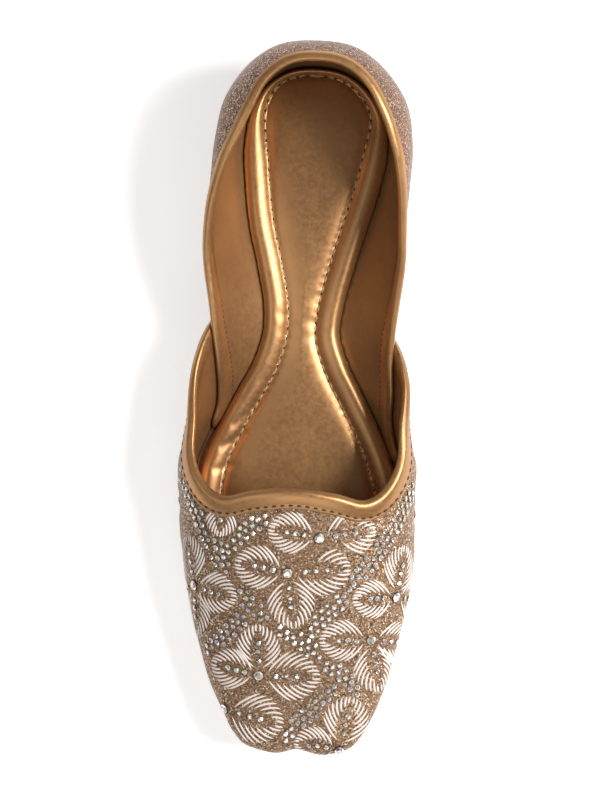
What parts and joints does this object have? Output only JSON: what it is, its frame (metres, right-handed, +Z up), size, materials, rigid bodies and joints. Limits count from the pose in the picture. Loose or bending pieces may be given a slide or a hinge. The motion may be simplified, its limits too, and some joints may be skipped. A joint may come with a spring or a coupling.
{
  "type": "mojari shoe",
  "caption": "Right-foot slip-on mojari with a glitter quarter, an embroidered vamp, leather-bound edges, a padded sock and a moulded sole with a low heel.",
  "frame": {"origin": "on the floor, under the middle of the shoe's bounding box", "axes": "+Z up, +Y towards the heel, so the toe points to -Y; +X towards the inner, big-toe side"},
  "size_m": [0.0838, 0.2486, 0.0603],
  "materials": {
    "sole_rubber": "moulded matt brown rubber",
    "sock_leather": "bronze metallic leather, satin",
    "quarter_glitter": "fine bronze glitter cloth",
    "vamp_cloth": "shimmer cloth with raised thread and small stones",
    "binding_leather": "bronze metallic leather, satin"
  },
  "bodies": {
    "root": {"outsole": "sole_rubber", "insole": "sock_leather", "upper_quarter": "quarter_glitter", "upper_vamp": "vamp_cloth", "quarter_binding": "binding_leather", "vamp_binding": "binding_leather"}
  },
  "joints": []
}
